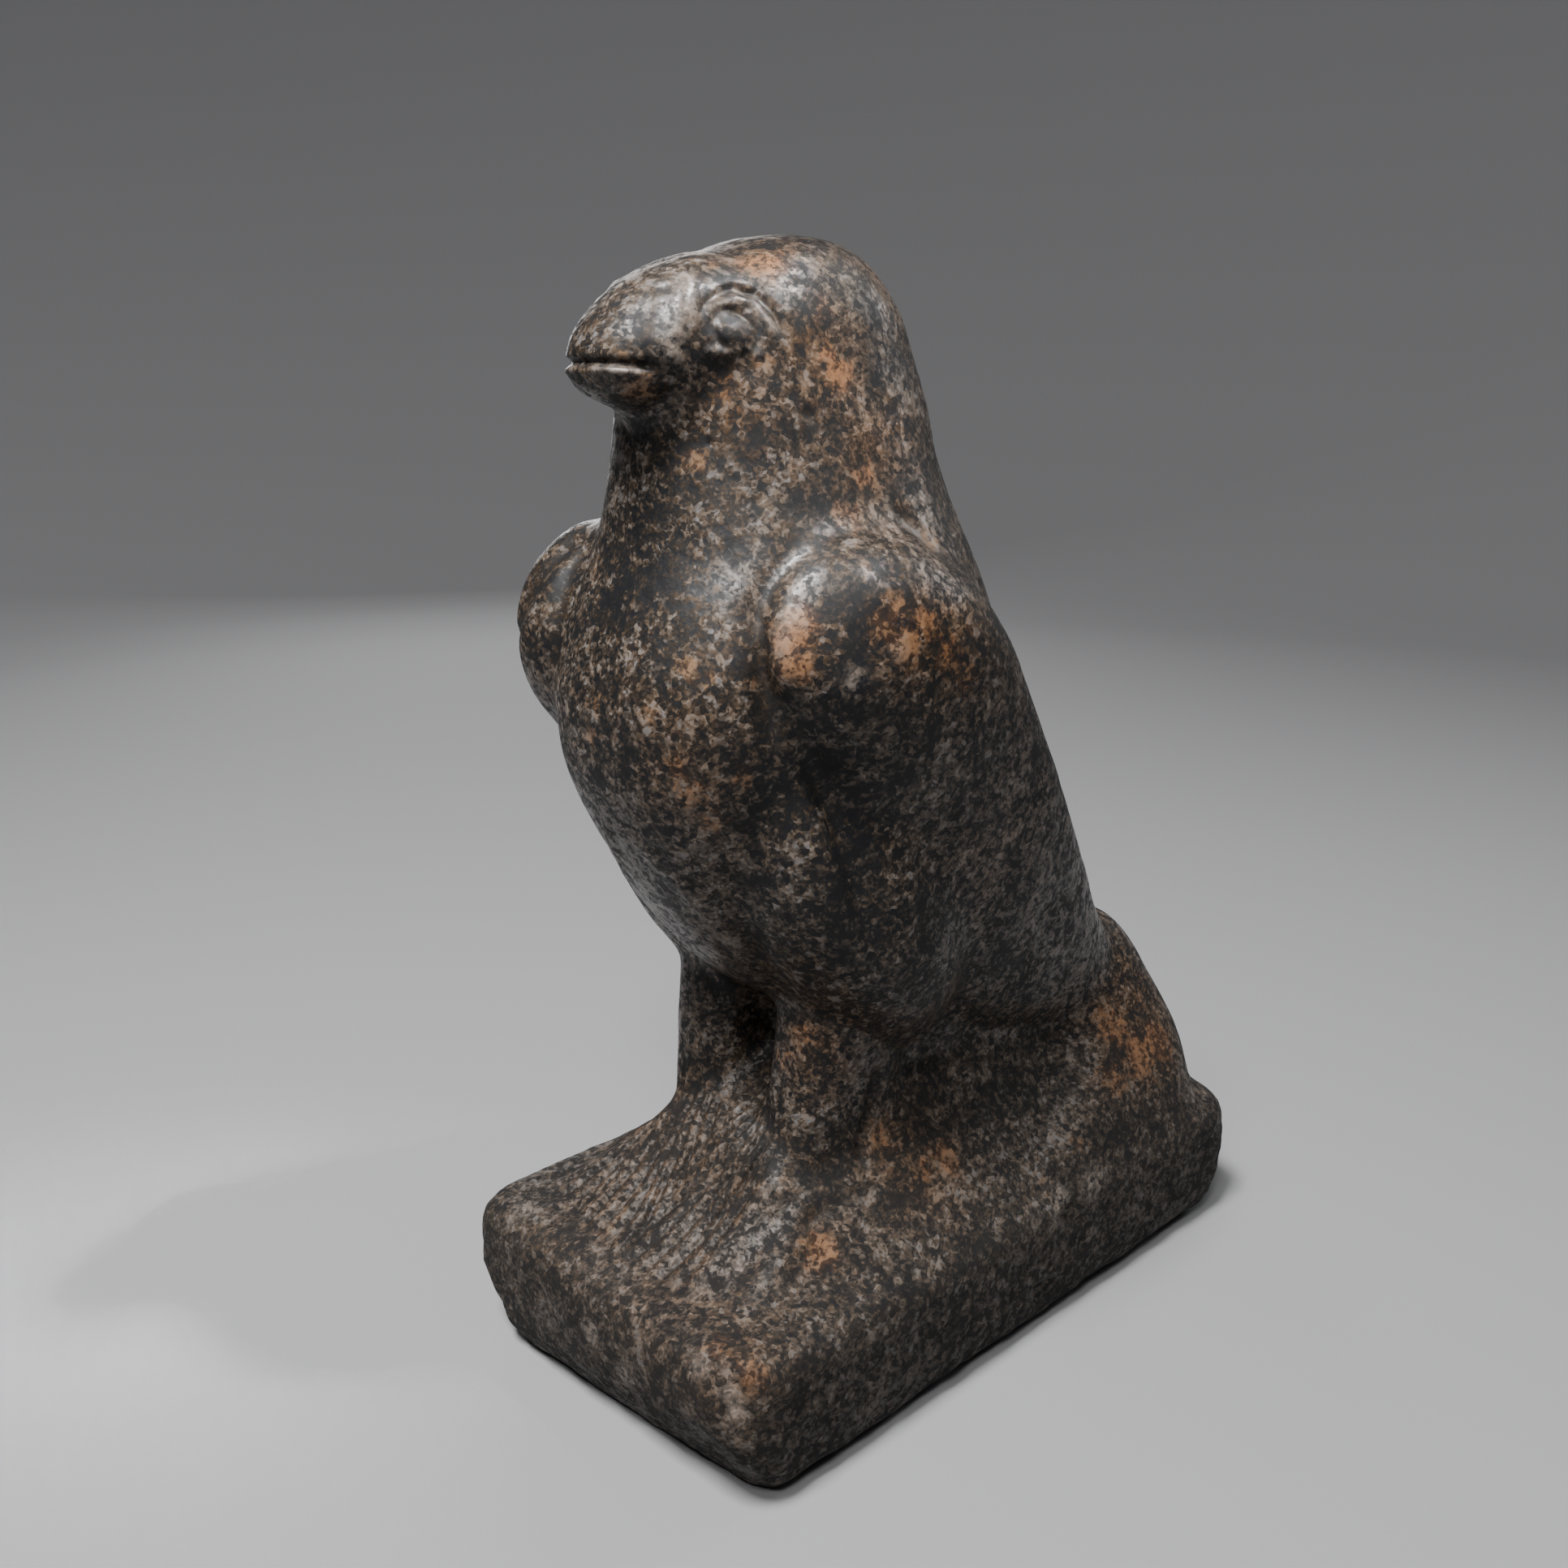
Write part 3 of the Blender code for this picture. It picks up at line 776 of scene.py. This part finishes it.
def grain_group():
    tree, given, out = group(
        "granite grain",
        (
            ("Vector", "NodeSocketVector", None),
            ("Grain size", "NodeSocketFloat", GRAIN),
            ("Darkness", "NodeSocketFloat", 0.0),
        ),
        (("Color", "NodeSocketColor"), ("Grain", "NodeSocketFloat"), ("Height", "NodeSocketFloat")),
    )
    place = given.outputs["Vector"]
    count = math_node(tree, "DIVIDE", 1.0, given.outputs["Grain size"])
    bend_count = math_node(tree, "MULTIPLY", count, BEND_COUNT_SHARE)
    bend = node(tree, "ShaderNodeTexNoise", {"Vector": place, "Scale": bend_count, "Detail": 2.0})
    centred = node(
        tree, "ShaderNodeVectorMath", {0: bend.outputs["Color"], 1: (0.5, 0.5, 0.5)}, operation="SUBTRACT"
    )
    reach = math_node(tree, "MULTIPLY", given.outputs["Grain size"], BEND_REACH)
    push = node(tree, "ShaderNodeVectorMath", {0: centred.outputs[0], "Scale": reach}, operation="SCALE")
    bent = node(tree, "ShaderNodeVectorMath", {0: place, 1: push.outputs[0]}, operation="ADD").outputs[0]
    coarse = node(tree, "ShaderNodeTexVoronoi", {"Vector": bent, "Scale": count})
    fine_count = math_node(tree, "MULTIPLY", count, FINER_BY)
    fine = node(tree, "ShaderNodeTexVoronoi", {"Vector": bent, "Scale": fine_count})
    first = node(tree, "ShaderNodeSeparateColor", {"Color": coarse.outputs["Color"]})
    second = node(tree, "ShaderNodeSeparateColor", {"Color": fine.outputs["Color"]})
    patch = node(tree, "ShaderNodeTexNoise", {"Vector": place, "Scale": PATCH_COUNT, "Detail": 2.0})
    speckle = node(tree, "ShaderNodeTexNoise", {"Vector": place, "Scale": SPECKLE_COUNT, "Detail": 2.0})
    kind = math_node(tree, "MULTIPLY", first.outputs[0], COARSE_WEIGHT)
    kind = math_node(tree, "ADD", kind, math_node(tree, "MULTIPLY", second.outputs[1], FINE_WEIGHT))
    for slow, strength in ((patch, PATCH_WEIGHT), (speckle, SPECKLE_WEIGHT)):
        swing = math_node(tree, "SUBTRACT", slow.outputs["Fac"], 0.5)
        kind = math_node(tree, "ADD", kind, math_node(tree, "MULTIPLY", swing, strength))
    kind = math_node(tree, "SUBTRACT", kind, given.outputs["Darkness"], clamp=True)
    brown = ramp(tree, kind, GRAIN_STOPS)
    cold = mix_colour(tree, 1.0, brown, COLD_TURN, blend="MULTIPLY")
    draw = math_node(tree, "ADD", first.outputs[2], second.outputs[2])
    chill = node(tree, "ShaderNodeMapRange", {"Value": draw, "From Min": COLD_FROM, "From Max": COLD_TO})
    tree.links.new(mix_colour(tree, chill.outputs["Result"], brown, cold), out.inputs["Color"])
    tree.links.new(kind, out.inputs["Grain"])
    tree.links.new(math_node(tree, "ADD", kind, speckle.outputs["Fac"]), out.inputs["Height"])
    return tree


grain = grain_group()
print("grain group has", len(grain.nodes), "nodes")

# %% [markdown]
# ## Rust
#
# Rust creeps along the joints between crystals, so a painted dab alone would look sprayed on. The group
# breaks the dab's edge with noise and lets the pale crystals take the orange while the black ones stay dark.

# %% The rust group
RUST_PALE = (0.165, 0.098, 0.056, 1.0)
RUST_DEEP = (0.028, 0.014, 0.0065, 1.0)
RUST_EDGE_COUNT = 520.0
RUST_RAGGED = 1.5
RUST_FROM = 0.30
RUST_TO = 0.85
RUST_COVER = 0.85
RUST_STOPS = ((0.22, RUST_DEEP), (0.56, RUST_PALE))


def rust_group():
    tree, given, out = group(
        "rust stain",
        (
            ("Vector", "NodeSocketVector", None),
            ("Color", "NodeSocketColor", None),
            ("Grain", "NodeSocketFloat", 0.5),
            ("Mask", "NodeSocketFloat", 0.0),
        ),
        (("Color", "NodeSocketColor"), ("Amount", "NodeSocketFloat")),
    )
    place = given.outputs["Vector"]
    edge = node(tree, "ShaderNodeTexNoise", {"Vector": place, "Scale": RUST_EDGE_COUNT, "Detail": 3.0})
    swing = math_node(tree, "SUBTRACT", edge.outputs["Fac"], 0.5)
    ragged = math_node(tree, "ADD", given.outputs["Mask"], math_node(tree, "MULTIPLY", swing, RUST_RAGGED))
    spread = node(
        tree,
        "ShaderNodeMapRange",
        {"Value": ragged, "From Min": RUST_FROM, "From Max": RUST_TO},
        interpolation_type="SMOOTHSTEP",
    )
    amount = math_node(tree, "MULTIPLY", spread.outputs["Result"], RUST_COVER)
    tint = ramp(tree, given.outputs["Grain"], RUST_STOPS)
    tree.links.new(mix_colour(tree, amount, given.outputs["Color"], tint), out.inputs["Color"])
    tree.links.new(amount, out.inputs["Amount"])
    return tree


rust = rust_group()
print("rust group has", len(rust.nodes), "nodes")

# %% [markdown]
# ## The granite
#
# The grain and the rust come together with the painted marks. Polish shows as low roughness on the bird,
# least on the black crystals, while the block's sides and the chips stay dull. The same mask darkens the
# colour: painted shade on the block's sides, and a darker tint on the low stone and in the chips. Painted
# shade lies in the narrow grooves and on the lower wing, and a painted highlight on the narrow ridges. A bump
# from the crystals and a fine tooth breaks up the highlights, as pores do in an old polish.

# %% The granite material
# The first colour is painted shade for the narrow grooves. The second is the pale of fresh grains and of the
# painted highlight on ridges. The third is painted shade on the block's sides and the darker tint of the dull
# stone.
GROOVE_SHADE_TONE = (0.010, 0.008, 0.0065, 1.0)
FRESH_AND_HIGHLIGHT = (0.20, 0.165, 0.140, 1.0)
RAW_AND_SHADE_TINT = (0.010, 0.0085, 0.007, 1.0)
WARM_TURN = (1.25, 0.98, 0.74, 1.0)
POLISHED_ROUGHNESS = 0.32
DARK_GRAIN_ROUGHNESS = 0.60
RAW_ROUGHNESS = 0.72
SMEAR_COUNT = 60.0
SHEEN = 0.26
DARK_AND_SHADE_PATCH = 0.20
RAW_AND_SHADE_SHARE = 0.5
FRESH_AND_HIGHLIGHT_SHARE = 1.1
GROOVE_SHADE_SHARE = 0.55
SMEAR_SWING = 0.35
DULL_GRAIN = 0.22
BRIGHT_GRAIN = 0.48
TOOTH = {"Scale": 900.0, "Detail": 4.0, "Roughness": 0.6}
RAW_TOOTH = 1.6
POLISHED_TOOTH = 0.25
BUMP_STRENGTH = 0.45
BUMP_DEPTH = 0.25 * MM


def attribute(tree, name):
    return node(tree, "ShaderNodeAttribute", attribute_name=name, attribute_type="GEOMETRY").outputs["Fac"]


def granite_material():
    material = bpy.data.materials.new("dark_granite")
    material.use_nodes = True
    tree = material.node_tree
    shader = tree.nodes["Principled BSDF"]
    place = node(tree, "ShaderNodeTexCoord").outputs["Object"]
    # Dark patches of the stone, and painted shade on the lower wing.
    dark_and_shade = math_node(tree, "MULTIPLY", attribute(tree, "dark_and_shade"), DARK_AND_SHADE_PATCH)
    crystals = node(tree, "ShaderNodeGroup", {}, node_tree=grain)
    crystals.inputs["Grain size"].default_value = GRAIN
    tree.links.new(place, crystals.inputs["Vector"])
    tree.links.new(dark_and_shade, crystals.inputs["Darkness"])
    stained = node(tree, "ShaderNodeGroup", {}, node_tree=rust)
    for socket, value in (
        ("Vector", place),
        ("Color", crystals.outputs["Color"]),
        ("Grain", crystals.outputs["Grain"]),
        ("Mask", attribute(tree, "rust")),
    ):
        tree.links.new(value, stained.inputs[socket])
    polish_and_light = attribute(tree, "polish_and_light")
    # Unpolished stone is rougher, and in colour the same mask lays painted shade on the block's sides and
    # darkens the low stone and the chips.
    raw_and_shade = math_node(tree, "SUBTRACT", 1.0, polish_and_light)
    colour = mix_colour(tree, math_node(tree, "MULTIPLY", raw_and_shade, RAW_AND_SHADE_SHARE), stained.outputs["Color"], RAW_AND_SHADE_TINT)
    warmed = mix_colour(tree, 1.0, colour, WARM_TURN, blend="MULTIPLY")
    colour = mix_colour(tree, attribute(tree, "warm"), colour, warmed)
    # Fresh pale grains, and a painted highlight on the narrow ridges.
    fresh_and_highlight = math_node(tree, "MULTIPLY", attribute(tree, "pale_and_highlight"), crystals.outputs["Grain"])
    colour = mix_colour(tree, math_node(tree, "MULTIPLY", fresh_and_highlight, FRESH_AND_HIGHLIGHT_SHARE, clamp=True), colour, FRESH_AND_HIGHLIGHT)
    # Painted shade in the narrow grooves.
    groove_shaded = math_node(tree, "MULTIPLY", attribute(tree, "groove_shade"), GROOVE_SHADE_SHARE)
    colour = mix_colour(tree, groove_shaded, colour, GROOVE_SHADE_TONE)
    tree.links.new(colour, shader.inputs["Base Color"])
    smear = node(tree, "ShaderNodeTexNoise", {"Vector": place, "Scale": SMEAR_COUNT, "Detail": 2.0})
    swing = math_node(tree, "SUBTRACT", smear.outputs["Fac"], 0.5)
    uneven = math_node(tree, "MULTIPLY", swing, SMEAR_SWING)
    pitted = node(
        tree,
        "ShaderNodeMapRange",
        {
            "Value": crystals.outputs["Grain"],
            "From Min": DULL_GRAIN,
            "From Max": BRIGHT_GRAIN,
            "To Min": DARK_GRAIN_ROUGHNESS,
            "To Max": POLISHED_ROUGHNESS,
        },
    )
    gloss = math_node(tree, "MULTIPLY", raw_and_shade, RAW_ROUGHNESS - POLISHED_ROUGHNESS)
    rough = math_node(tree, "ADD", pitted.outputs["Result"], gloss)
    rough = math_node(tree, "ADD", rough, uneven, clamp=True)
    tree.links.new(rough, shader.inputs["Roughness"])
    shader.inputs["Specular IOR Level"].default_value = SHEEN
    tooth = node(tree, "ShaderNodeTexNoise", {"Vector": place, **TOOTH})
    depth = math_node(tree, "ADD", math_node(tree, "MULTIPLY", raw_and_shade, RAW_TOOTH), POLISHED_TOOTH)
    bite = math_node(tree, "MULTIPLY", tooth.outputs["Fac"], depth)
    relief = math_node(tree, "ADD", crystals.outputs["Height"], bite)
    bump = node(
        tree, "ShaderNodeBump", {"Height": relief, "Strength": BUMP_STRENGTH, "Distance": BUMP_DEPTH}
    )
    tree.links.new(bump.outputs["Normal"], shader.inputs["Normal"])
    return material


granite = granite_material()
statue.data.materials.append(granite)
print(granite.name, "has", len(granite.node_tree.nodes), "nodes")

# %% [markdown]
# ## The floor
#
# The statue stands in a pale studio. A floor that curves up into a wall all round has no corner to see from
# any side. A flat card behind the statue would do for one view, but this one is looked at from all round.

# %% Build the studio
FLOOR_RADIUS = 1.1
SWEEP_RADIUS = 0.8
WALL_TOP = 2.4
SPIN_STEPS = 96
SWEEP_STEPS = 12
FLOOR_TONE = (0.235, 0.235, 0.24, 1.0)
FLOOR_ROUGHNESS = 0.85
FLOOR_SHEEN = 0.2


def studio_floor():
    form = bmesh.new()
    profile = [Vector((0.0, 0.0, 0.0)), Vector((FLOOR_RADIUS, 0.0, 0.0))]
    for k in range(1, SWEEP_STEPS + 1):
        turn = math.pi / 2 * k / SWEEP_STEPS
        out = FLOOR_RADIUS + SWEEP_RADIUS * math.sin(turn)
        profile.append(Vector((out, 0.0, SWEEP_RADIUS * (1 - math.cos(turn)))))
    profile.append(Vector((FLOOR_RADIUS + SWEEP_RADIUS, 0.0, WALL_TOP)))
    verts = [form.verts.new(place) for place in profile]
    edges = [form.edges.new(pair) for pair in zip(verts, verts[1:])]
    bmesh.ops.spin(
        form,
        geom=verts + edges,
        axis=(0, 0, 1),
        cent=(0, 0, 0),
        angle=2 * math.pi,
        steps=SPIN_STEPS,
        use_merge=True,
    )
    bmesh.ops.remove_doubles(form, verts=form.verts, dist=MM)
    bmesh.ops.recalc_face_normals(form, faces=form.faces)
    mesh = bpy.data.meshes.new("studio floor")
    form.to_mesh(mesh)
    form.free()
    mesh.shade_smooth()
    floor = bpy.data.objects.new("studio_floor", mesh)
    bpy.context.scene.collection.objects.link(floor)
    return floor


def floor_material():
    material = bpy.data.materials.new("pale_floor")
    material.use_nodes = True
    shader = material.node_tree.nodes["Principled BSDF"]
    shader.inputs["Base Color"].default_value = FLOOR_TONE
    shader.inputs["Roughness"].default_value = FLOOR_ROUGHNESS
    shader.inputs["Specular IOR Level"].default_value = FLOOR_SHEEN
    return material


floor = studio_floor()
floor.data.materials.append(floor_material())
floor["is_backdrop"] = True
print(floor.name, "has", len(floor.data.polygons), "faces")

# %% [markdown]
# ## The lights
#
# Five square lamps light the stone. The key hangs high over the bird's front, so the belly shades the legs
# as in the photograph. A smaller lamp from the front and left brightens the chest, and a narrow beam picks
# out the head. One on the far side draws a thin edge, and a weak one behind lets the back be read. Each row
# names a lamp, its place, what it points at, its side, how many degrees its light spreads, and its power.
# One bright sky would be simpler, but it would flatten the forms.

# %% Hang the lights
LIGHTS = (
    ("key", (0.10, -0.50, 1.10), (0.0, 0.0, 0.12), 0.26, 180, 34.0),
    ("front", (0.43, -0.58, 0.92), (0.02, -0.07, 0.19), 0.16, 180, 6.2),
    ("side", (0.55, 0.31, 1.25), (0.02, -0.06, 0.262), 0.10, 7, 0.085),
    ("rim", (-1.00, 0.50, 0.45), (0.0, 0.0, 0.12), 0.50, 180, 3.2),
    ("back", (0.35, 1.10, 0.80), (0.0, 0.0, 0.12), 0.50, 60, 0.55),
)
WORLD_TONE = (0.80, 0.83, 0.88, 1.0)
WORLD_STRENGTH = 0.04


def hang_light(name, place, aim, side, spread, power):
    data = bpy.data.lights.new(name, "AREA")
    data.shape = "SQUARE"
    data.size = side
    data.energy = power
    data.spread = math.radians(spread)
    light = bpy.data.objects.new(name, data)
    light.location = place
    light.rotation_euler = (Vector(place) - Vector(aim)).to_track_quat("Z", "Y").to_euler()
    light.visible_camera = False
    bpy.context.scene.collection.objects.link(light)
    return light


def pale_world():
    world = bpy.data.worlds.new("studio air")
    world.use_nodes = True
    air = world.node_tree.nodes["Background"]
    air.inputs["Color"].default_value = WORLD_TONE
    air.inputs["Strength"].default_value = WORLD_STRENGTH
    bpy.context.scene.world = world


for light in LIGHTS:
    hang_light(*light)
pale_world()
print("lights:", [name for name, *rest in LIGHTS])

# %% [markdown]
# ## The size, before and after
#
# The carved piece has to stay the size of the model, so both boxes are written down side by side.

# %% Write the sizes and finish
low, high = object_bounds()
for corner, now, cad in (("low", low, cad_low), ("high", high, cad_high)):
    print(corner, "corner moved, mm:", [round((a - b) / MM, 2) for a, b in zip(now, cad)])
